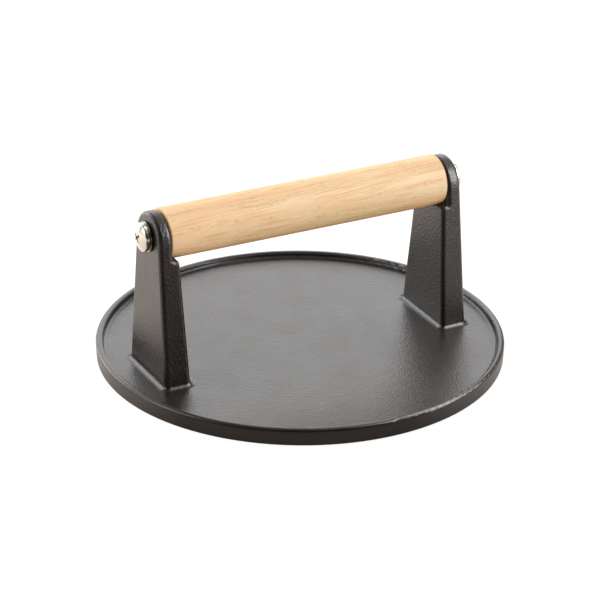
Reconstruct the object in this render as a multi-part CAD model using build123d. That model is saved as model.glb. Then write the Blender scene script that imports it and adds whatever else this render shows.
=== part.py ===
from build123d import *
from math import acos, atan2, cos, hypot, radians, sin, tan
import os

# Round cast iron grill press with a wooden grip held between two cast posts, in millimetres.
# The origin is the centre of the flat pressing face, +Z is up and +X runs along the grip.

# Plate: a flat disc inside a low rounded rim, whose walls both lean a little for casting
plate_diameter = 222.0
plate_thickness = 6.2
plate_wall_lean = 0.4
plate_bottom_radius = 0.8
rim_height = 3.2
rim_width = 3.8
rim_wall_lean = 0.3
rim_outer_radius = 1.6
rim_inner_radius = 1.3
rim_foot_radius = 1.6

# Posts: two tapered uprights in one casting with the plate, each thinned to an ear beside the grip
post_inset = 20.1
post_base_width = 45.8
post_outer_draft = 0.75
post_inner_draft = 1.9
post_edge_radius = 2.4
post_foot_radius = 1.8
ear_radius = 14.7
ear_centre_below_grip = 1.7
ear_thickness = 7.8
shoulder_step = 3.8
shoulder_below_grip = 10.0
shoulder_edge_radius = 2.6
shoulder_corner_radius = 1.2

# Grip: a turned dowel that lies in a hollow on each shoulder and bears on the right ear
grip_diameter = 27.6
grip_axis_height = 85.5
grip_end_gap = 0.5
grip_end_radius = 0.7
cradle_clearance = 0.4

# Fasteners: a screw and a washer at each end, the screw turned into a threaded insert in the grip
screw_diameter = 5.9
screw_length = 25.0
screw_tip_chamfer = 0.6
head_diameter = 15.6
head_height = 4.9
head_edge_height = 2.6
head_edge_radius = 0.9
recess_length = 6.6
recess_width = 1.5
recess_depth = 2.4
recess_floor_length = 2.6
recess_floor_width = 1.0
screw_turn = 45.0
washer_diameter = 16.4
washer_thickness = 1.5
washer_edge_radius = 0.3
insert_diameter = 9.4
insert_length = 14.0
insert_slot_width = 1.4
insert_slot_depth = 1.6

# Clearances, all on one side
ear_hole_clearance = 0.35
washer_hole_clearance = 0.25
thread_clearance = 0.05
insert_clearance = 0.05
insert_set_back = 0.3
pilot_clearance = 0.4
pilot_end_clearance = 2.0
washer_seat_clearance = 0.3
washer_seat_depth = 0.3

# The largest part of a wall that a rounding may take, and how close to a height an edge counts as on it
share_of_wall = 0.48
same_height = 0.01

# Sizes that follow from the ones above
plate_radius = plate_diameter / 2
rim_top = plate_thickness + rim_height
grip_radius = grip_diameter / 2
screw_radius = screw_diameter / 2
head_radius = head_diameter / 2
washer_radius = washer_diameter / 2
insert_radius = insert_diameter / 2
ear_centre_height = grip_axis_height - ear_centre_below_grip
shoulder_height = grip_axis_height - shoulder_below_grip
above_ears = ear_centre_height + 2 * ear_radius
post_root_height = plate_thickness / 2
post_base_x = plate_radius - post_inset


def outer_face_x(height):
    """Distance from the centre to a post's outer face, which leans in as it rises."""
    return post_base_x - (height - plate_thickness) * tan(radians(post_outer_draft))


ear_outer_x = outer_face_x(grip_axis_height)
ear_inner_x = ear_outer_x - ear_thickness
shoulder_inner_x = ear_inner_x - shoulder_step
washer_seat_x = ear_outer_x - washer_seat_depth
head_seat_x = washer_seat_x + washer_thickness


def inner_face_x(height):
    """Distance from the centre to a post's inner face below the shoulder, which leans out."""
    return shoulder_inner_x - (shoulder_height - height) * tan(radians(post_inner_draft))


def limited(radius, wall):
    """A rounding, held under half of the wall that it rounds."""
    return min(radius, share_of_wall * wall)


def round_corner(section, across, height, radius):
    """Round the corner of a section in the XZ plane that lies nearest to the given place."""
    corner = section.vertices().sort_by_distance(Vector(across, 0, height))[0]
    return fillet(corner, radius)


def rod_along_grip(start_x, end_x, radius):
    """A plain round rod on the grip's axis between two places."""
    middle = Pos((start_x + end_x) / 2, 0, grip_axis_height)
    return middle * Cylinder(radius, abs(end_x - start_x), rotation=(0, 90, 0))


def make_plate():
    """The plate and its rim, turned from one half section."""
    wall_foot_x = plate_radius - plate_wall_lean
    crest_x = plate_radius - rim_width
    rim_foot_x = crest_x - rim_wall_lean
    section = Plane.XZ * make_face(
        Polyline(
            (0, 0),
            (wall_foot_x, 0),
            (plate_radius, rim_top),
            (crest_x, rim_top),
            (rim_foot_x, plate_thickness),
            (0, plate_thickness),
            close=True,
        )
    )
    section = round_corner(section, wall_foot_x, 0, limited(plate_bottom_radius, rim_top))
    section = round_corner(section, plate_radius, rim_top, limited(rim_outer_radius, rim_width))
    section = round_corner(section, crest_x, rim_top, limited(rim_inner_radius, rim_height))
    section = round_corner(section, rim_foot_x, plate_thickness, limited(rim_foot_radius, rim_height))
    return revolve(section, axis=Axis.Z)


def post_front():
    """A post seen along the grip: straight sides that lean in and run smoothly into a round top."""
    half_width = post_base_width / 2
    rise = ear_centre_height - plate_thickness
    lean = acos(ear_radius / hypot(half_width, rise)) - atan2(rise, half_width)
    touch_y = ear_radius * cos(lean)
    touch_z = ear_centre_height + ear_radius * sin(lean)
    root_y = half_width + (plate_thickness - post_root_height) * tan(lean)
    sides = Polyline(
        (-touch_y, touch_z),
        (-root_y, post_root_height),
        (root_y, post_root_height),
        (touch_y, touch_z),
    )
    top = ThreePointArc((touch_y, touch_z), (0, ear_centre_height + ear_radius), (-touch_y, touch_z))
    return Plane.YZ * make_face(sides + top)


def post_side():
    """A post seen across the grip: a drafted shank, a rounded shoulder and the thinner ear."""
    section = Plane.XZ * make_face(
        Polyline(
            (inner_face_x(post_root_height), post_root_height),
            (shoulder_inner_x, shoulder_height),
            (ear_inner_x, shoulder_height),
            (ear_inner_x, above_ears),
            (outer_face_x(above_ears), above_ears),
            (outer_face_x(post_root_height), post_root_height),
            close=True,
        )
    )
    share = min(1, shoulder_step / (shoulder_edge_radius + shoulder_corner_radius))
    section = round_corner(section, shoulder_inner_x, shoulder_height, share * shoulder_edge_radius)
    return round_corner(section, ear_inner_x, shoulder_height, share * shoulder_corner_radius)


def make_post():
    """The right post, with every long edge rounded."""
    across = extrude(post_side(), amount=post_base_width, both=True)
    along = extrude(post_front(), amount=plate_radius)
    post = across & along
    bends = post.edges() - post.edges().filter_by(Axis.X) - post.edges().filter_by(Axis.Y)
    long_edges = bends.filter_by(lambda edge: edge.center().Z > plate_thickness)
    return fillet(long_edges, limited(post_edge_radius, ear_thickness))


def make_cast_body():
    """Plate and posts in one casting, rounded at the posts' feet, then hollowed, drilled and faced."""
    post = make_post()
    casting = make_plate() + post + mirror(post, about=Plane.YZ)
    on_floor = (plate_thickness - same_height, plate_thickness + same_height)
    feet = casting.edges().filter_by_position(Axis.Z, *on_floor)
    feet = feet.filter_by(lambda edge: edge.length < post_base_width)
    casting = fillet(feet, post_foot_radius)
    casting -= rod_along_grip(-ear_inner_x, ear_inner_x, grip_radius + cradle_clearance)
    casting -= rod_along_grip(-plate_radius, plate_radius, screw_radius + ear_hole_clearance)
    for side in (-1, 1):
        seat_radius = washer_radius + washer_seat_clearance
        casting -= rod_along_grip(side * washer_seat_x, side * plate_radius, seat_radius)
    return casting


def grip_end_x(side):
    """How far the grip reaches from the centre: it bears on the right ear and stops short of the left."""
    if side > 0:
        return ear_inner_x
    return ear_inner_x - grip_end_gap


def make_grip():
    """The dowel, its end edges rounded, bored at both ends for an insert and the tip of a screw."""
    grip = rod_along_grip(-grip_end_x(-1), grip_end_x(1), grip_radius)
    grip = fillet(grip.edges().filter_by(GeomType.CIRCLE), limited(grip_end_radius, grip_radius))
    for side in (-1, 1):
        end_x = side * grip_end_x(side)
        insert_end_x = end_x - side * (insert_set_back + insert_length)
        screw_end_x = side * (head_seat_x - screw_length - pilot_end_clearance)
        grip -= rod_along_grip(end_x, insert_end_x, insert_radius + insert_clearance)
        grip -= rod_along_grip(end_x, screw_end_x, screw_radius + pilot_clearance)
    return grip


def make_screw():
    """A screw standing on its tip: a low domed head with a cross recess on a plain shank."""
    tip_radius = screw_radius - screw_tip_chamfer
    outline = Polyline(
        (0, head_height),
        (0, -screw_length),
        (tip_radius, -screw_length),
        (screw_radius, screw_tip_chamfer - screw_length),
        (screw_radius, 0),
        (head_radius, 0),
        (head_radius, head_edge_height),
    )
    dome = TangentArc((0, head_height), (head_radius, head_edge_height), tangent=(1, 0))
    section = Plane.XZ * make_face(outline + dome)
    section = round_corner(section, head_radius, head_edge_height, limited(head_edge_radius, head_edge_height))
    screw = revolve(section, axis=Axis.Z)
    mouth = Plane.XY.offset(head_height) * Rectangle(recess_length, recess_width)
    floor = Plane.XY.offset(head_height - recess_depth) * Rectangle(recess_floor_length, recess_floor_width)
    wing = loft([mouth, floor])
    return screw - wing - Rot(0, 0, 90) * wing


def make_washer():
    """A flat round washer with rounded edges, lying on the seat that it is faced for."""
    on_seat = (Align.CENTER, Align.CENTER, Align.MIN)
    disc = Cylinder(washer_radius, washer_thickness, align=on_seat)
    rims = disc.edges().filter_by(GeomType.CIRCLE)
    disc = fillet(rims, limited(washer_edge_radius, washer_thickness))
    return disc - Cylinder(screw_radius + washer_hole_clearance, washer_thickness, align=on_seat)


def make_insert():
    """A threaded insert, its outer end at the origin: a bored sleeve with a driving slot."""
    below = (Align.CENTER, Align.CENTER, Align.MAX)
    insert = Cylinder(insert_radius, insert_length, align=below)
    insert -= Cylinder(screw_radius + thread_clearance, insert_length, align=below)
    return insert - Box(insert_diameter, insert_slot_width, insert_slot_depth, align=below)


def at_side(side, distance):
    """A place on the grip's axis with its own +Z pointing away from the centre."""
    return Pos(side * distance, 0, grip_axis_height) * Rot(0, side * 90, 0)


pieces = {"cast_body": make_cast_body(), "grip": make_grip()}
for side, name in ((-1, "left"), (1, "right")):
    turned = Rot(0, 0, screw_turn)
    pieces[f"screw_{name}"] = at_side(side, head_seat_x) * turned * make_screw()
    pieces[f"washer_{name}"] = at_side(side, washer_seat_x) * make_washer()
    pieces[f"insert_{name}"] = at_side(side, grip_end_x(side) - insert_set_back) * make_insert()

os.makedirs("parts", exist_ok=True)
for name, piece in pieces.items():
    export_step(piece, f"parts/{name}.step")
    print(name, "volume", round(piece.volume), "mm3")
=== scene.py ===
import bpy
import numpy as np
from mathutils import Matrix, Vector


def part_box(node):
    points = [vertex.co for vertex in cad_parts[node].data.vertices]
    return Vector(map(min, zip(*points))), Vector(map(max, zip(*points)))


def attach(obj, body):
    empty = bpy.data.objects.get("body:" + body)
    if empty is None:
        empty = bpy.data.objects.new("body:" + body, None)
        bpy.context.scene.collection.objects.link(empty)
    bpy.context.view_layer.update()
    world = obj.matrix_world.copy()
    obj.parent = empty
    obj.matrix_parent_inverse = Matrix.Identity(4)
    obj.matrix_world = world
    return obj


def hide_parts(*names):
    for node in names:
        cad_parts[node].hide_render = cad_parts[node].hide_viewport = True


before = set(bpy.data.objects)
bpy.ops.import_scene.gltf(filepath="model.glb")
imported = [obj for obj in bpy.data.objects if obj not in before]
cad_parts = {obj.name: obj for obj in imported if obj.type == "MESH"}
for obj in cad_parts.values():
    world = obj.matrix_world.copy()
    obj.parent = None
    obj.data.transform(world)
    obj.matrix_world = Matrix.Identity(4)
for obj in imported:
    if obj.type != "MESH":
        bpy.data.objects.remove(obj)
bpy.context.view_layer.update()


# Cast body
# One sand casting in grey iron: a round plate in a low rim, and two posts that rise from it and end in ears.
# Oil baked onto it has turned it black and satin, and it keeps the fine pebbly skin of the sand mould.
MM = 0.001
FOOT_MIDDLE = (83.4 * MM, 0.0, 0.0)
FOOT_CORE = (5.1 * MM, 20.5 * MM, 1.0)
FOOT_CORNER = 2.4 * MM
FOOT_REACH = 3.4 * MM
FOOT_RISE = 1.0 * MM
RIM_FOOT = (105.3 * MM, 107.2 * MM)
ABOVE_PLATE = (10 * MM, 14 * MM)
SAND_GRAIN = 0.42 * MM
PEBBLE = 0.95 * MM
OIL_PATCH = 14 * MM
THIN_OIL = (0.0070, 0.0034, 0.0016)
THICK_OIL = (0.0105, 0.0054, 0.0026)
OIL_ROUGHNESS = (0.28, 0.34)


def add_node(tree, kind, inputs, **settings):
    """Add one shader node to a tree: each input is a plain value or another node's output."""
    made = tree.nodes.new("ShaderNode" + kind)
    for name, value in settings.items():
        setattr(made, name, value)
    for name, value in inputs.items():
        if isinstance(value, bpy.types.NodeSocket):
            tree.links.new(value, made.inputs[name])
        else:
            made.inputs[name].default_value = value
    return made


def on_vectors(tree, operation, *vectors):
    """The vector that an operation makes of one or more vectors."""
    return add_node(tree, "VectorMath", dict(enumerate(vectors)), operation=operation).outputs[0]


def length_of(tree, vector):
    """The length of a vector."""
    return add_node(tree, "VectorMath", {0: vector}, operation="LENGTH").outputs["Value"]


def start_group(name, inputs, outputs):
    """Start a node group: its tree, the sockets that bring its inputs and the node that takes its outputs."""
    tree = bpy.data.node_groups.new(name, "ShaderNodeTree")
    for socket, kind in inputs.items():
        tree.interface.new_socket(socket, in_out="INPUT", socket_type="NodeSocket" + kind)
    for socket, kind in outputs.items():
        tree.interface.new_socket(socket, in_out="OUTPUT", socket_type="NodeSocket" + kind)
    return tree, tree.nodes.new("NodeGroupInput").outputs, tree.nodes.new("NodeGroupOutput")


def lumps_group():
    """Soft lumps of a given size along each axis, 0 to 1: smooth noise of the place divided by the size."""
    sockets = {"Place": "Vector", "Size": "Vector", "Detail": "Float"}
    tree, given, result = start_group("lumps", sockets, {"Amount": "Float"})
    place = on_vectors(tree, "DIVIDE", given["Place"], given["Size"])
    cloud = add_node(tree, "TexNoise", {"Vector": place, "Scale": 1.0, "Detail": given["Detail"]})
    tree.links.new(cloud.outputs["Fac"], result.inputs["Amount"])
    return tree


lumps_tree = lumps_group()


def lumps(tree, place, size, detail):
    """Lumps of one size in metres, or of three sizes along X, Y and Z."""
    sizes = (size, size, size) if np.isscalar(size) else size
    inputs = {"Place": place, "Size": sizes, "Detail": detail}
    return add_node(tree, "Group", inputs, node_tree=lumps_tree).outputs["Amount"]


def spread(tree, value, low, high, start=0.3, end=0.7, how="LINEAR"):
    """Spread a mask between start and end over the range from low to high, in a straight line or a curve."""
    limits = {"Value": value, "From Min": start, "From Max": end, "To Min": low, "To Max": high}
    return add_node(tree, "MapRange", limits, interpolation_type=how).outputs["Result"]


def multiply(tree, first, second):
    """The product of two masks."""
    return add_node(tree, "Math", {0: first, 1: second}, operation="MULTIPLY").outputs[0]


def blend_colours(tree, mask, first, second, how="MIX"):
    """The first colour where the mask is 0, and the second, or its product with the first, where it is 1."""
    made = add_node(tree, "Mix", {"Factor": mask}, data_type="RGBA", blend_type=how)
    for socket, colour in ((made.inputs[6], first), (made.inputs[7], second)):
        if isinstance(colour, bpy.types.NodeSocket):
            tree.links.new(colour, socket)
        else:
            socket.default_value = (*colour, 1.0)
    return made.outputs[2]


def raise_bumps(tree, heights):
    """Stack bumps, each a height mask with the real depth in metres that it stands for."""
    below = {}
    for mask, depth in heights:
        bump = add_node(tree, "Bump", {"Height": mask, "Distance": depth, "Strength": 1.0, **below})
        below = {"Normal": bump.outputs["Normal"]}
    return below["Normal"]


def start_material(name, **values):
    """Start a material: its tree, its Principled shader with the given plain values and the piece's place."""
    material = bpy.data.materials.new(name)
    material.use_nodes = True
    tree = material.node_tree
    tree.nodes.clear()
    surface = add_node(tree, "BsdfPrincipled", values)
    add_node(tree, "OutputMaterial", {"Surface": surface.outputs["BSDF"]})
    place = tree.nodes.new("ShaderNodeTexCoord").outputs["Object"]
    return material, tree, surface, place


def finish_surface(tree, surface, colour, roughness, normal):
    """Feed a shader its colour, roughness and normal."""
    tree.links.new(colour, surface.inputs["Base Color"])
    tree.links.new(roughness, surface.inputs["Roughness"])
    tree.links.new(normal, surface.inputs["Normal"])


def foot_sweep(tree, place):
    """How far the iron has risen toward a post's foot, 0 to 1.

    The place is folded over into one quarter of one post. Its distance from the post's rounded footprint is
    the length of what lies past the footprint's core.
    """
    folded = on_vectors(tree, "ABSOLUTE", place)
    from_post = on_vectors(tree, "SUBTRACT", folded, FOOT_MIDDLE)
    quarter = on_vectors(tree, "ABSOLUTE", from_post)
    past_core = on_vectors(tree, "SUBTRACT", quarter, FOOT_CORE)
    beside = on_vectors(tree, "MAXIMUM", past_core, (0.0, 0.0, 0.0))
    distance = length_of(tree, beside)
    return spread(tree, distance, 1.0, 0.0, FOOT_CORNER, FOOT_CORNER + FOOT_REACH, "SMOOTHSTEP")


def seasoned_iron():
    """Black satin iron: fine sand grain, pebbles, and broad patches in the baked oil.

    The pebbles are deeper above the plate and softer on the rim, and the iron sweeps up to each post's foot.
    """
    material, tree, surface, place = start_material("seasoned_iron", **{"Specular IOR Level": 0.6})
    height = add_node(tree, "SeparateXYZ", {0: place}).outputs["Z"]
    from_middle = length_of(tree, on_vectors(tree, "MULTIPLY", place, (1.0, 1.0, 0.0)))
    grain = lumps(tree, place, SAND_GRAIN, 1.0)
    pebbles = lumps(tree, place, PEBBLE, 1.5)
    patches = lumps(tree, place, OIL_PATCH, 3.0)
    coarse = multiply(tree, spread(tree, height, 0.0, 1.0, *ABOVE_PLATE), pebbles)
    skin = multiply(tree, pebbles, spread(tree, from_middle, 1.0, 0.3, *RIM_FOOT))
    black = blend_colours(tree, spread(tree, patches, 0.0, 1.0), THIN_OIL, THICK_OIL)
    roughness = spread(tree, patches, *OIL_ROUGHNESS)
    heights = (
        (foot_sweep(tree, place), FOOT_RISE),
        (patches, 0.12 * MM),
        (coarse, 0.09 * MM),
        (skin, 0.16 * MM),
        (grain, 0.055 * MM),
    )
    finish_surface(tree, surface, black, roughness, raise_bumps(tree, heights))
    return material


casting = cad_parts["cast_body"]
casting.data.materials.clear()
casting.data.materials.append(seasoned_iron())


# Inserts
# Two brass sleeves turned from bar, each with a coarse sharp thread outside and the screw's thread inside.
# A driver in the slot across the outer end turns them into the bores of the grip, just below its end faces.
INSERT_PITCH = 2.6 * MM
INSERT_THREAD_DEPTH = 0.75 * MM
INSERT_CREST = 0.08
INSERT_ROOT = 0.45
INSERT_CHAMFER = 0.4 * MM
SLOT_HALF_WIDTH = 0.7 * MM
SLOT_DEPTH = 1.6 * MM
SCREW_RADIUS = 2.95 * MM
SCREW_PITCH = 1.0 * MM
SCREW_THREAD_DEPTH = 0.61 * MM
SCREW_CREST = 0.125
SCREW_ROOT = 0.25
THREAD_PLAY = 0.1 * MM
RINGS_PER_TURN = 12
SIDES = 96
AROUND = np.linspace(0.0, 2.0 * np.pi, SIDES, endpoint=False)
SMOOTH_UP_TO = np.radians(32.0)
CLEAN_BRASS = (0.80, 0.60, 0.28)
TARNISHED_BRASS = (0.62, 0.44, 0.20)

grip_low, grip_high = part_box("grip")
axis_height = (grip_high.z + grip_low.z) / 2
insert_low, insert_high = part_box("insert_right")
insert_length = insert_high.x - insert_low.x
insert_radius = (insert_high.z - insert_low.z) / 2


def thread_height(along, around, pitch, crest, root):
    """Height of a right-hand thread, 0 at its root and 1 at its crest.

    The turn is the distance along divided by the pitch, less the angle in turns. The height falls in a
    straight line with the distance from the nearest crest, cut off flat over the crest's and the root's share
    of a pitch.
    """
    turn = along / pitch - around / (2.0 * np.pi)
    from_crest = np.abs(turn - np.round(turn))
    flank = (1.0 - crest - root) / 2.0
    return np.clip(1.0 - (from_crest - crest / 2.0) / flank, 0.0, 1.0)


def rings_over(start, end, pitch):
    """Distances of evenly spaced rings over a thread."""
    return np.linspace(start, end, int(abs(end - start) / pitch * RINGS_PER_TURN))


def round_points(along, radius, around=AROUND):
    """Points on rings about the axis: each ring's distance along, and its radius or one for each angle."""
    along, radius, around = np.broadcast_arrays(
        np.asarray(along)[:, None], np.asarray(radius).reshape(len(along), -1), np.atleast_2d(around)
    )
    return np.stack((along, radius * np.cos(around), radius * np.sin(around)), axis=-1)


def set_in_place(points, side, outer_end):
    """Put points about their own axis, outer end at zero and outward positive, at the left or right end.

    The left piece is the right one turned half way round the vertical, so its threads stay right-hand.
    """
    placed = points + np.array((outer_end, 0.0, 0.0))
    return placed * np.array((side, side, 1.0)) + np.array((0.0, 0.0, axis_height))


def ring_faces(rows, columns, closed):
    """Quads between neighbouring rings, and from the last ring to the first where the section is closed."""
    row = np.arange(rows if closed else rows - 1)[:, None]
    column = np.arange(columns)[None, :]
    after_row = (row + 1) % rows
    after_column = (column + 1) % columns
    corners = (
        row * columns + column,
        row * columns + after_column,
        after_row * columns + after_column,
        after_row * columns + column,
    )
    return np.stack(np.broadcast_arrays(*corners), axis=-1).reshape(-1, 4)


def pole_faces(first, columns, pole, forward):
    """Triangles from one ring, which starts at the given point, to a pole."""
    here = first + np.arange(columns)
    after = first + (np.arange(columns) + 1) % columns
    ends = (after, here) if forward else (here, after)
    return np.stack((*ends, np.full(columns, pole)), axis=-1)


def outward(points, faces):
    """The faces, all turned round if their signed volume, the sum of their corners' products, is negative."""
    volume = 0.0
    for group in faces:
        first = points[group[:, 0]]
        for corner in range(1, group.shape[1] - 1):
            second = points[group[:, corner]]
            third = points[group[:, corner + 1]]
            volume += np.einsum("ij,ij->", first, np.cross(second, third))
    if volume > 0:
        return faces
    return [group[:, ::-1] for group in faces]


def make_piece(name, grid, closed):
    """A mesh over a grid of rings: a closed section, or an open one whose first and last ring are poles."""
    rows, columns = grid.shape[:2]
    if closed:
        points = grid.reshape(-1, 3)
        faces = [ring_faces(rows, columns, True)]
    else:
        points = np.concatenate((grid[1:-1].reshape(-1, 3), grid[:1, 0], grid[-1:, 0]))
        inner = (rows - 2) * columns
        faces = [
            ring_faces(rows - 2, columns, False),
            pole_faces(0, columns, inner, True),
            pole_faces(inner - columns, columns, inner + 1, False),
        ]
    face_lists = [group.tolist() for group in outward(points, faces)]
    mesh = bpy.data.meshes.new(name)
    mesh.from_pydata(points.tolist(), [], sum(face_lists, []))
    mesh.shade_smooth()
    mesh.set_sharp_from_angle(angle=SMOOTH_UP_TO)
    piece = bpy.data.objects.new(name, mesh)
    bpy.context.scene.collection.objects.link(piece)
    return piece


def machined_brass():
    """Turned brass: fine tool marks round the axis and a faint brown tarnish."""
    material, tree, surface, place = start_material("machined_brass", Metallic=1.0)
    marks = lumps(tree, place, (0.12 * MM, 4 * MM, 4 * MM), 1.0)
    tarnish = lumps(tree, place, 2.5 * MM, 3.0)
    colour = blend_colours(tree, spread(tree, tarnish, 0.0, 1.0), CLEAN_BRASS, TARNISHED_BRASS)
    roughness = spread(tree, tarnish, 0.24, 0.40)
    finish_surface(tree, surface, colour, roughness, raise_bumps(tree, ((marks, 0.006 * MM),)))
    return material


def insert_grid():
    """Rings over one insert: along its outer thread, over its inner end and back along its inner thread.

    Each outer radius is the thread's root plus its height. The inner thread's crests lie half a pitch from
    the screw's, in its roots. The slot is cut by holding the outer end's rings back to the slot's depth
    wherever they lie within half its width of the middle.
    """
    bore_root = SCREW_RADIUS + THREAD_PLAY
    around = AROUND[None, :]
    outer_along = rings_over(-INSERT_CHAMFER, INSERT_CHAMFER - insert_length, INSERT_PITCH)
    outer_height = thread_height(outer_along[:, None], around, INSERT_PITCH, INSERT_CREST, INSERT_ROOT)
    outer_radius = insert_radius - INSERT_THREAD_DEPTH * (1.0 - outer_height)
    inner_along = rings_over(INSERT_CHAMFER - insert_length, -INSERT_CHAMFER, SCREW_PITCH)
    between_screw_crests = (inner_along + SCREW_PITCH / 2)[:, None]
    inner_height = thread_height(between_screw_crests, around, SCREW_PITCH, SCREW_CREST, SCREW_ROOT)
    inner_radius = bore_root - SCREW_THREAD_DEPTH * inner_height
    wide = insert_radius - INSERT_THREAD_DEPTH - INSERT_CHAMFER / 2
    narrow = bore_root + INSERT_CHAMFER / 4
    outer_face = np.repeat(((narrow,), (wide,)), SIDES, axis=1)
    radius = np.concatenate((outer_face, outer_radius, outer_face[::-1], inner_radius))
    along = np.concatenate(((0.0, 0.0), outer_along, (-insert_length, -insert_length), inner_along))
    grid = round_points(along, radius)
    in_slot = np.abs(grid[..., 2]) < SLOT_HALF_WIDTH
    grid[..., 0] = np.where(in_slot, np.minimum(grid[..., 0], -SLOT_DEPTH), grid[..., 0])
    return grid


brass = machined_brass()
for side, name in ((-1, "insert_left"), (1, "insert_right")):
    low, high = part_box(name)
    outer_end = max(abs(low.x), abs(high.x))
    sleeve = make_piece(name + "_threaded", set_in_place(insert_grid(), side, outer_end), True)
    sleeve.data.materials.append(brass)
    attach(sleeve, "root")
    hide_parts(name)


# Grip
# One straight dowel turned from pale close-grained hardwood and sanded smooth, its end edges eased.
# It is bored from both ends for the inserts, lies on the posts' shoulders and is left oiled, not varnished.
END_EASE = 0.7 * MM
PILOT_RADIUS = 3.35 * MM
PILOT_PAST_SCREW = 2.0 * MM
DRILL_POINT = 31.0
INSERT_FIT = 0.05 * MM
MOUTH_EASE = 0.3 * MM
RINGS_BETWEEN_ENDS = 40
GRAIN_SLANT = (0.0, np.radians(1.6), np.radians(-2.4))
HONEY_WOOD = (0.80, 0.560, 0.300)
CREAM_WOOD = (0.87, 0.660, 0.420)
ROSY_WOOD = (0.83, 0.550, 0.310)
BLUSHED_WOOD = (0.83, 0.500, 0.265)
STREAK_WOOD = (0.70, 0.405, 0.185)
FIBRE_WOOD = (0.60, 0.36, 0.175)
PORE_WOOD = (0.38, 0.215, 0.10)
# The tint of the painted shade along the grip's underside.
UNDERSIDE_SHADE_TINT = (0.97, 0.77, 0.50)

grip_radius = (grip_high.z - grip_low.z) / 2
left_insert_end = abs(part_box("insert_left")[0].x)
screw_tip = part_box("screw_right")[0].x


def arc_points(centre_along, centre_radius, bend, start, end, count=6):
    """Ring distances and radii round an arc, by its angle from the axis's outward direction."""
    angle = np.radians(np.linspace(start, end, count))
    return centre_along + bend * np.cos(angle), centre_radius + bend * np.sin(angle)


def grip_end(side, end, insert_end):
    """Rings over one end of the dowel, from the bottom of its bore out and over the eased edge.

    The bore's radius follows the insert's own thread with a hair's breadth between them.
    """
    bottom = screw_tip - PILOT_PAST_SCREW
    cone = PILOT_RADIUS * np.tan(np.radians(DRILL_POINT))
    inner = insert_end - insert_length
    bore_along = rings_over(inner, insert_end, INSERT_PITCH)
    turned = AROUND if side > 0 else np.pi - AROUND
    in_thread = (bore_along - insert_end)[:, None]
    height = thread_height(in_thread, turned[None, :], INSERT_PITCH, INSERT_CREST, INSERT_ROOT)
    mouth = insert_radius + INSERT_FIT
    edge_along, edge_radius = arc_points(end - END_EASE, grip_radius - END_EASE, END_EASE, 0.0, 90.0)
    along = np.concatenate(((bottom - cone, bottom, inner), bore_along, (end - MOUTH_EASE, end), edge_along))
    pilot = np.repeat(((0.0,), (PILOT_RADIUS,), (PILOT_RADIUS,)), SIDES, axis=1)
    bore = mouth - INSERT_THREAD_DEPTH * (1.0 - height)
    face = np.concatenate(((mouth, mouth + MOUTH_EASE), edge_radius))
    face = np.repeat(face[:, None], SIDES, axis=1)
    return side * along, np.concatenate((pilot, bore, face))


def pale_wood():
    """Pale wood, rosier to the left: bands, soft streaks, fibres and short dark pores on a swaying grain."""
    material, tree, surface, place = start_material("pale_wood", **{"Specular IOR Level": 0.25})
    where = add_node(tree, "SeparateXYZ", {0: place}).outputs
    turned = add_node(tree, "Mapping", {"Vector": place, "Rotation": GRAIN_SLANT}).outputs[0]
    sway = lumps(tree, turned, (60 * MM, 14 * MM, 14 * MM), 0.0)
    along = on_vectors(tree, "MULTIPLY_ADD", sway, (0.0, 3.2 * MM, 2.6 * MM), turned)
    bands = lumps(tree, along, (90 * MM, 4.5 * MM, 4.5 * MM), 2.0)
    blush = lumps(tree, along, (45 * MM, 3.2 * MM, 3.2 * MM), 1.0)
    streaks = lumps(tree, along, (38 * MM, 1.0 * MM, 1.0 * MM), 2.0)
    fibres = lumps(tree, along, (8 * MM, 0.3 * MM, 0.3 * MM), 2.0)
    pores = lumps(tree, along, (3.4 * MM, 0.33 * MM, 0.33 * MM), 0.0)
    pore_groups = lumps(tree, along, (26 * MM, 4 * MM, 4 * MM), 1.0)
    leftward = spread(tree, where["X"], 0.8, 0.1, -70 * MM, 30 * MM)
    # Painted shade: below the axis the wood is darkened and warmed toward its underside.
    underside_shade_mask = spread(tree, where["Z"], 0.95, 0.0, axis_height - 12.5 * MM, axis_height - 6.0 * MM)
    open_pores = spread(tree, pores, 0.0, 1.0, 0.68, 0.76)
    pore_mask = multiply(tree, open_pores, spread(tree, pore_groups, 0.05, 0.7, 0.46, 0.62))
    honey = blend_colours(tree, spread(tree, bands, 0.0, 1.0), HONEY_WOOD, CREAM_WOOD)
    rosy = blend_colours(tree, leftward, honey, ROSY_WOOD)
    blushed = blend_colours(tree, spread(tree, blush, 0.0, 0.65, 0.46, 0.66), rosy, BLUSHED_WOOD)
    streaky = blend_colours(tree, spread(tree, streaks, 0.0, 0.7, 0.52, 0.68), blushed, STREAK_WOOD)
    fibrous = blend_colours(tree, spread(tree, fibres, 0.0, 0.35, 0.48, 0.72), streaky, FIBRE_WOOD)
    wood = blend_colours(tree, pore_mask, fibrous, PORE_WOOD)
    # The painted shade is multiplied into the wood's colour.
    underside_shaded = blend_colours(tree, underside_shade_mask, wood, UNDERSIDE_SHADE_TINT, "MULTIPLY")
    roughness = spread(tree, fibres, 0.54, 0.64)
    dip = add_node(tree, "Math", {0: 1.0, 1: pore_mask}, operation="SUBTRACT").outputs[0]
    normal = raise_bumps(tree, ((fibres, 0.015 * MM), (dip, 0.05 * MM)))
    finish_surface(tree, surface, underside_shaded, roughness, normal)
    return material


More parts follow.
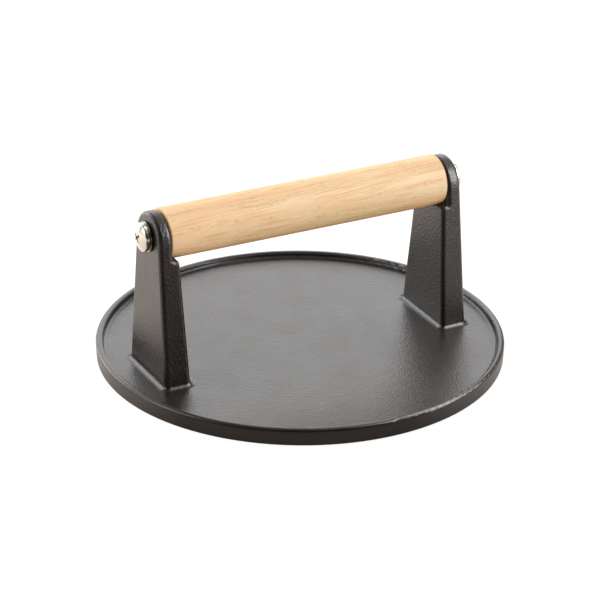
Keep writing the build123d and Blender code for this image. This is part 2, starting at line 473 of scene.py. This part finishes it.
left_along, left_radius = grip_end(-1, abs(grip_low.x), left_insert_end)
right_along, right_radius = grip_end(1, grip_high.x, insert_high.x)
between = np.linspace(left_along[-1], right_along[-1], RINGS_BETWEEN_ENDS + 2)[1:-1]
between_radius = np.full((RINGS_BETWEEN_ENDS, SIDES), grip_radius)
grip_grid = round_points(
    np.concatenate((left_along, between, right_along[::-1])),
    np.concatenate((left_radius, between_radius, right_radius[::-1])),
)
dowel = make_piece("grip_turned", grip_grid + np.array((0.0, 0.0, axis_height)), False)
dowel.data.materials.append(pale_wood())
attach(dowel, "root")
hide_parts("grip")


# Washers
# Two flat washers stamped from steel sheet and nickel plated, each in a shallow seat round its ear's bore.
# The punch leaves the outer edge sharp under the screw's head and rolls it over on the side of the seat.
WASHER_PLAY = 0.25 * MM
ROLLED_EDGE = 0.45 * MM
SHARP_EDGE = 0.15 * MM
# How far in from the washer's outer edge the painted shade begins and becomes full.
EDGE_SHADE_INSET = (0.2 * MM, 0.1 * MM)
NICKEL_HAZE = 0.01 * MM
WORN_NICKEL = (0.56, 0.535, 0.46)
CLEAN_NICKEL = (0.63, 0.60, 0.53)
# The colour of the painted shade round the washer's outer edge.
EDGE_SHADE_COLOUR = (0.10, 0.09, 0.075)

washer_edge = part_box("washer_right")[1].z - axis_height
head_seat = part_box("washer_right")[1].x


def nickel_plate_group():
    """Warm nickel plate over polished steel, whose colour, gloss and relief follow faint patches of wear."""
    finish = {"Colour": "Color", "Roughness": "Float", "Height": "Float"}
    tree, given, result = start_group("nickel_plate", {"Place": "Vector"}, finish)
    haze = lumps(tree, given["Place"], 1.5 * MM, 3.0)
    tree.links.new(blend_colours(tree, haze, WORN_NICKEL, CLEAN_NICKEL), result.inputs["Colour"])
    tree.links.new(spread(tree, haze, 0.18, 0.26), result.inputs["Roughness"])
    tree.links.new(haze, result.inputs["Height"])
    return tree


nickel_plate_tree = nickel_plate_group()


def stamped_nickel():
    """Nickel plate on a stamping, painted dark round its punched edge: painted shade round the screw's head.
    """
    material, tree, surface, place = start_material("stamped_nickel", Metallic=1.0)
    plate = add_node(tree, "Group", {"Place": place}, node_tree=nickel_plate_tree).outputs
    from_axis = on_vectors(tree, "SUBTRACT", place, (0.0, 0.0, axis_height))
    radius = length_of(tree, on_vectors(tree, "MULTIPLY", from_axis, (0.0, 1.0, 1.0)))
    # Painted shade: a dark band round the outer edge for the gap and shadow round the screw's head.
    painted_edge_shade = spread(tree, radius, 0.0, 1.0, washer_edge - EDGE_SHADE_INSET[0], washer_edge - EDGE_SHADE_INSET[1])
    colour = blend_colours(tree, painted_edge_shade, plate["Colour"], EDGE_SHADE_COLOUR)
    normal = raise_bumps(tree, ((plate["Height"], NICKEL_HAZE),))
    finish_surface(tree, surface, colour, plate["Roughness"], normal)
    return material


def washer_section(outer, inner, thickness):
    """Ring distances and radii round a washer's section, its seat at zero and each corner an arc."""
    corners = (
        (ROLLED_EDGE, outer - ROLLED_EDGE, ROLLED_EDGE, 180.0, 90.0),
        (thickness - SHARP_EDGE, outer - SHARP_EDGE, SHARP_EDGE, 90.0, 0.0),
        (thickness - SHARP_EDGE, inner + SHARP_EDGE, SHARP_EDGE, 360.0, 270.0),
        (SHARP_EDGE, inner + SHARP_EDGE, SHARP_EDGE, 270.0, 180.0),
    )
    arcs = [arc_points(*corner) for corner in corners]
    return np.concatenate([arc[0] for arc in arcs]), np.concatenate([arc[1] for arc in arcs])


stamped = stamped_nickel()
for side, name in ((-1, "washer_left"), (1, "washer_right")):
    low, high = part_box(name)
    seat = min(abs(low.x), abs(high.x))
    along, radius = washer_section((high.z - low.z) / 2, SCREW_RADIUS + WASHER_PLAY, high.x - low.x)
    washer = make_piece(name + "_stamped", set_in_place(round_points(along, radius), side, seat), True)
    washer.data.materials.append(stamped)
    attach(washer, "root")
    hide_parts(name)


# Screws
# Two M6 steel screws with low domed heads and a cross recess, cold headed, thread rolled and nickel plated.
# Each passes through its washer and ear into the insert, and clamps the grip between the ears.
HEAD_RADIUS = 7.8 * MM
HEAD_HEIGHT = 4.9 * MM
HEAD_EDGE = 2.6 * MM
HEAD_ROUNDING = 0.9 * MM
HEAD_LIP = 0.25 * MM
RECESS_MOUTH = (3.3 * MM, 0.75 * MM)
RECESS_FLOOR = (1.3 * MM, 0.50 * MM)
RECESS_DEPTH = 2.4 * MM
RECESS_LAND = 0.3 * MM
WING_SHARE = 0.9
COLUMNS_IN_WING = 3
COLUMNS_OUTSIDE = 8
EVEN_OUT_OVER = 2.0 * MM
RAMP_START = 1.45 * MM
DOME_START = 3.5 * MM
FLOOR_RINGS = 8
RAMP_RINGS = 12
DOME_RINGS = 12
EDGE_RINGS = 8
LIP_RINGS = 5
PLAIN_NECK = 0.3 * MM
TIP_CHAMFER = 0.6 * MM
NEAR_ZERO = 1e-6


def bright_nickel():
    """Nickel plate all over."""
    material, tree, surface, place = start_material("bright_nickel", Metallic=1.0)
    plate = add_node(tree, "Group", {"Place": place}, node_tree=nickel_plate_tree).outputs
    normal = raise_bumps(tree, ((plate["Height"], NICKEL_HAZE),))
    finish_surface(tree, surface, plate["Colour"], plate["Roughness"], normal)
    return material


def recess_angles(radius):
    """Angles of the columns on one ring of the head, bunched so that they follow the edges of the cross.

    Within an eighth of a turn, measured from a wing's middle, one column follows the floor's edge and the
    next the mouth's edge, each at the arc sine of its half width over the radius. Outside the cross they even
    out.
    """
    eighth = np.pi / 4
    steps = COLUMNS_IN_WING + 1 + COLUMNS_OUTSIDE
    half_wing = RECESS_MOUTH[1] / np.maximum(radius, NEAR_ZERO)
    mouth = np.arcsin(np.clip(half_wing, 0.0, np.sin(WING_SHARE * eighth)))
    floor = mouth * RECESS_FLOOR[1] / RECESS_MOUTH[1]
    even = np.arange(steps + 1) / steps * eighth
    shares = np.linspace(0.0, 1.0, COLUMNS_IN_WING + 1)
    rest = np.linspace(0.0, 1.0, COLUMNS_OUTSIDE + 1)
    bunched = np.concatenate((shares * floor, mouth + rest * (eighth - mouth)))
    ease = np.clip((radius - RECESS_MOUTH[0]) / EVEN_OUT_OVER, 0.0, 1.0)
    half = bunched * (1.0 - ease) + even * ease
    wing = np.concatenate((half, 2 * eighth - half[-2:0:-1]))
    quarters = np.arange(4)[:, None] * 2 * eighth
    return (quarters + wing[None, :]).ravel() + eighth


def recess_depth(across, up):
    """Depth of the cross at each point: the least of a wing's end ramp, side wall and floor, wing by wing."""
    depth = np.zeros_like(across)
    for turn in (np.pi / 4, -np.pi / 4):
        long = np.abs(across * np.cos(turn) + up * np.sin(turn))
        wide = np.abs(up * np.cos(turn) - across * np.sin(turn))
        ramp = (RECESS_MOUTH[0] - long) / (RECESS_MOUTH[0] - RECESS_FLOOR[0])
        wall = (RECESS_MOUTH[1] - wide) / (RECESS_MOUTH[1] - RECESS_FLOOR[1])
        depth = np.maximum(depth, RECESS_DEPTH * np.clip(np.minimum(ramp, wall), 0.0, 1.0))
    return depth


def head_grid():
    """Rings over a screw's head, from the middle of its dome to the edge of its seat, which lies at zero.

    The dome is an arc that is level at the axis, met by a smaller arc at the edge. The recess lowers each of
    the dome's points to the recess's own depth under the top.
    """
    fall = HEAD_HEIGHT - HEAD_EDGE
    dome = (HEAD_RADIUS**2 + fall**2) / (2 * fall)
    dome_centre = HEAD_HEIGHT - dome
    edge_centre_radius = HEAD_RADIUS - HEAD_ROUNDING
    edge_centre = dome_centre + np.sqrt((dome - HEAD_ROUNDING) ** 2 - edge_centre_radius**2)
    dome_end = np.arctan2(edge_centre_radius, edge_centre - dome_centre)
    floor_radius = np.linspace(0.0, RECESS_FLOOR[0], FLOOR_RINGS)
    ramp_radius = np.linspace(RAMP_START, RECESS_MOUTH[0], RAMP_RINGS)
    past_radius = np.linspace(DOME_START, dome * np.sin(dome_end), DOME_RINGS)
    dome_radius = np.concatenate((floor_radius, ramp_radius, past_radius))
    dome_along = dome_centre + np.sqrt(dome**2 - dome_radius**2)
    edge_along, edge_radius = arc_points(
        edge_centre, edge_centre_radius, HEAD_ROUNDING, np.degrees(dome_end), 90.0, EDGE_RINGS
    )
    lip_along, lip_radius = arc_points(HEAD_LIP, HEAD_RADIUS - HEAD_LIP, HEAD_LIP, 90.0, 180.0, LIP_RINGS)
    along = np.concatenate((dome_along, edge_along[1:], lip_along))
    radius = np.concatenate((dome_radius, edge_radius[1:], lip_radius))
    head = round_points(along, radius, np.stack([recess_angles(ring) for ring in radius]))
    sunk = HEAD_HEIGHT - recess_depth(head[..., 1], head[..., 2])
    on_dome = (radius <= RECESS_MOUTH[0] + RECESS_LAND)[:, None]
    head[..., 0] = np.where(on_dome & (sunk < HEAD_HEIGHT), np.minimum(head[..., 0], sunk), head[..., 0])
    return head


def screw_grid(insert_end):
    """Rings over one screw from the middle of its head to its tip, its head's seat at zero.

    The shank's radius is the thread's root plus its height, eased in under the head and out at the tip, its
    turns counted from the insert's outer end.
    """
    length = head_seat - screw_tip
    along = rings_over(0.0, -length, SCREW_PITCH)
    around = recess_angles(HEAD_RADIUS)
    in_insert = (along + head_seat - insert_end)[:, None]
    thread = thread_height(in_insert, around[None, :], SCREW_PITCH, SCREW_CREST, SCREW_ROOT)
    cut = np.clip((-along - PLAIN_NECK) / SCREW_PITCH, 0.0, 1.0)[:, None]
    crest = SCREW_RADIUS - np.clip(TIP_CHAMFER - length - along, 0.0, TIP_CHAMFER)[:, None]
    radius = np.minimum(crest, SCREW_RADIUS - SCREW_THREAD_DEPTH * (1.0 - thread) * cut)
    shank = round_points(along, radius, around)
    tip = round_points(np.array((-length,)), np.zeros((1, 1)), around)
    return np.concatenate((head_grid(), shank, tip))


nickel = bright_nickel()
for side, name, insert_end in ((-1, "screw_left", left_insert_end), (1, "screw_right", insert_high.x)):
    screw = make_piece(name + "_threaded", set_in_place(screw_grid(insert_end), side, head_seat), False)
    screw.data.materials.append(nickel)
    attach(screw, "root")
    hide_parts(name)


# Floor
# A plain white studio table that reads as the white background and keeps the press's soft shadow.
# In gloss its near left part is painted dark: painted shade for the dark of the studio, as the iron's own
# reflections show. Farther out it has a faint painted glow.
FLOOR_HALF = 4.0
FLOOR_Z = -0.0001
FLOOR_CORNERS = ((-1, -1), (1, -1), (1, 1), (-1, 1))
DARK_MIDDLE = (-0.13, -0.145, 0.0)
DARK_TURN = (0.0, 0.0, np.radians(-21.7))
DARK_REACH = (0.19, 0.09, 1.0)
DARK_EDGE = (0.75, 1.35)
BESIDE_RIM = (0.118, 0.150)
FAR_AWAY = (1.0, 4.0)
NO_LIMIT = -100.0
# The paper's colour in gloss inside the dark strip: painted shade.
SHADED_PAPER_TONE = (0.01, 0.008, 0.006)
WARM_PAPER = (0.86, 0.785, 0.725)
WARM_LIGHT = (1.0, 0.91, 0.84, 1.0)


def grey(level):
    """A neutral colour."""
    return (level, level, level, 1.0)


def white_table():
    """White paper, which the camera sees held at white.

    In gloss a strip of it is painted dark, painted shade, from a round end near the press's left front out
    toward the camera. Right beside the rim it is painted half lit, and a painted glow makes it lighter with
    the distance from the strip.
    """
    material = bpy.data.materials.new("white_table")
    material.use_nodes = True
    tree = material.node_tree
    tree.nodes.clear()
    place = tree.nodes.new("ShaderNodeTexCoord").outputs["Object"]
    round_end = {"Vector": place, "Location": DARK_MIDDLE, "Rotation": DARK_TURN, "Scale": DARK_REACH}
    from_end = add_node(tree, "Mapping", round_end, vector_type="TEXTURE").outputs[0]
    from_dark = length_of(tree, on_vectors(tree, "MAXIMUM", from_end, (NO_LIMIT, 0.0, 0.0)))
    from_press = length_of(tree, place)
    open_floor = spread(tree, from_dark, 0.0, 1.0, *DARK_EDGE)
    under_rim = spread(tree, from_press, 0.55, 0.0, *BESIDE_RIM)
    lit = add_node(tree, "Math", {0: open_floor, 1: under_rim}, operation="MAXIMUM").outputs[0]
    # Painted shade: in gloss the paper is painted dark in the strip and half lit beside the rim.
    tone = blend_colours(tree, lit, SHADED_PAPER_TONE, WARM_PAPER)
    # Painted light: in gloss the paper glows more the farther it lies from the strip.
    far_light = spread(tree, from_dark, 0.0, 0.39, *FAR_AWAY)
    paper = add_node(tree, "BsdfDiffuse", {"Color": grey(0.9)}).outputs[0]
    mirrored_paper = add_node(tree, "BsdfDiffuse", {"Color": tone}).outputs[0]
    mirrored_light = add_node(tree, "Emission", {"Color": WARM_LIGHT, "Strength": far_light}).outputs[0]
    mirrored = add_node(tree, "AddShader", {0: mirrored_paper, 1: mirrored_light}).outputs[0]
    shown_paper = add_node(tree, "BsdfDiffuse", {"Color": grey(0.3)}).outputs[0]
    shown_light = add_node(tree, "Emission", {"Color": grey(1.0), "Strength": 0.8}).outputs[0]
    shown = add_node(tree, "AddShader", {0: shown_paper, 1: shown_light}).outputs[0]
    rays = tree.nodes.new("ShaderNodeLightPath").outputs
    unseen = add_node(tree, "MixShader", {0: rays["Is Glossy Ray"], 1: paper, 2: mirrored}).outputs[0]
    choice = add_node(tree, "MixShader", {0: rays["Is Camera Ray"], 1: unseen, 2: shown}).outputs[0]
    add_node(tree, "OutputMaterial", {"Surface": choice})
    return material


floor_mesh = bpy.data.meshes.new("floor")
corners = [(x * FLOOR_HALF, y * FLOOR_HALF, FLOOR_Z) for x, y in FLOOR_CORNERS]
floor_mesh.from_pydata(corners, [], [(0, 1, 2, 3)])
floor_mesh.materials.append(white_table())
floor = bpy.data.objects.new("floor", floor_mesh)
bpy.context.scene.collection.objects.link(floor)


# Light
# Softboxes behind, left, right and above, in a white room that is dark round the camera.
# A small card near the right post shows only as a reflection in the iron, the wood's gloss and the nickel.
PRESS_MIDDLE = (0.0, 0.0, 0.04)
RIGHT_EAR = (0.085, 0.0, 0.09)
TOWARD_CAMERA = (-0.45, -0.89, 0.10)


def softbox(name, place, aim, width, height, brightness):
    """An area lamp at a place, turned to face a point, its surface so many times as bright as white paper."""
    lamp = bpy.data.lights.new(name, "AREA")
    lamp.shape = "RECTANGLE"
    lamp.size = width
    lamp.size_y = height
    lamp.energy = brightness * width * height * np.pi
    holder = bpy.data.objects.new(name, lamp)
    bpy.context.scene.collection.objects.link(holder)
    holder.location = place
    holder.rotation_mode = "QUATERNION"
    holder.rotation_quaternion = (Vector(aim) - Vector(place)).to_track_quat("-Z", "Y")
    holder.visible_camera = False
    return holder


def white_room():
    """White to the camera. In gloss it is pale grey behind the press and dark round the camera.

    The light that it sheds on the press is stronger from the camera's side.
    """
    world = bpy.data.worlds.new("white_room")
    bpy.context.scene.world = world
    world.use_nodes = True
    tree = world.node_tree
    tree.nodes.clear()
    direction = tree.nodes.new("ShaderNodeTexCoord").outputs["Generated"]
    sides = {0: direction, 1: TOWARD_CAMERA}
    frontal = add_node(tree, "VectorMath", sides, operation="DOT_PRODUCT").outputs["Value"]
    mirrored = spread(tree, frontal, 0.6, 0.015, -0.2, 0.70)
    shed = spread(tree, frontal, 0.38, 1.03, -0.8, 0.8)
    rays = tree.nodes.new("ShaderNodeLightPath").outputs
    to_gloss = {"Factor": rays["Is Glossy Ray"], "A": shed, "B": mirrored}
    level = add_node(tree, "Mix", to_gloss, data_type="FLOAT").outputs[0]
    to_camera = {"Factor": rays["Is Camera Ray"], "A": level, "B": 1.0}
    strength = add_node(tree, "Mix", to_camera, data_type="FLOAT").outputs[0]
    light = add_node(tree, "Background", {"Color": grey(1.0), "Strength": strength})
    add_node(tree, "OutputWorld", {"Surface": light.outputs[0]})


softbox("back_softbox", (0.62, 1.17, 0.62), PRESS_MIDDLE, 1.5, 0.95, 2.12)
softbox("back_left_softbox", (-0.54, 1.12, 0.46), PRESS_MIDDLE, 0.8, 0.9, 4.2)
softbox("left_softbox", (-1.07, 0.25, 0.47), PRESS_MIDDLE, 0.6, 0.6, 4.2)
softbox("top_softbox", (0.44, 0.12, 1.10), PRESS_MIDDLE, 0.5, 0.5, 1.5)
softbox("right_softbox", (0.75, -0.33, 0.56), PRESS_MIDDLE, 0.35, 0.85, 2.1)
near_card = softbox("near_card", (0.218, -0.236, 0.250), RIGHT_EAR, 0.17, 0.32, 11.5)
near_card.visible_diffuse = False
white_room()


# Camera
# It stands where the photograph was taken from.
# That place is solved from the outline of the plate and the edges of the grip.
CAMERA_AZIMUTH = -27.47
CAMERA_ELEVATION = 25.47
CAMERA_ROLL = 0.49
CAMERA_DISTANCE = 1.54285
CAMERA_TARGET = Vector((-0.00022, 0.0, 0.02988))
FOCAL_PIXELS = 2853.54
PHOTO_WIDTH = 600

azimuth, elevation, roll = np.radians((CAMERA_AZIMUTH, CAMERA_ELEVATION, CAMERA_ROLL))
level_right = Vector((np.cos(azimuth), np.sin(azimuth), 0.0))
level_back = Vector((np.sin(azimuth), -np.cos(azimuth), 0.0))
backward = level_back * np.cos(elevation) + Vector((0.0, 0.0, np.sin(elevation)))
level_up = backward.cross(level_right)
right = level_right * np.cos(roll) + level_up * np.sin(roll)
up = level_up * np.cos(roll) - level_right * np.sin(roll)

lens = bpy.data.cameras.new("camera")
lens.lens = FOCAL_PIXELS * lens.sensor_width / PHOTO_WIDTH
camera = bpy.data.objects.new("camera", lens)
bpy.context.scene.collection.objects.link(camera)
facing = Matrix((right, up, backward)).transposed().to_4x4()
camera.matrix_world = Matrix.Translation(CAMERA_TARGET + backward * CAMERA_DISTANCE) @ facing
bpy.context.scene.camera = camera
bpy.context.scene.view_settings.view_transform = "Standard"

bpy.context.view_layer.update()
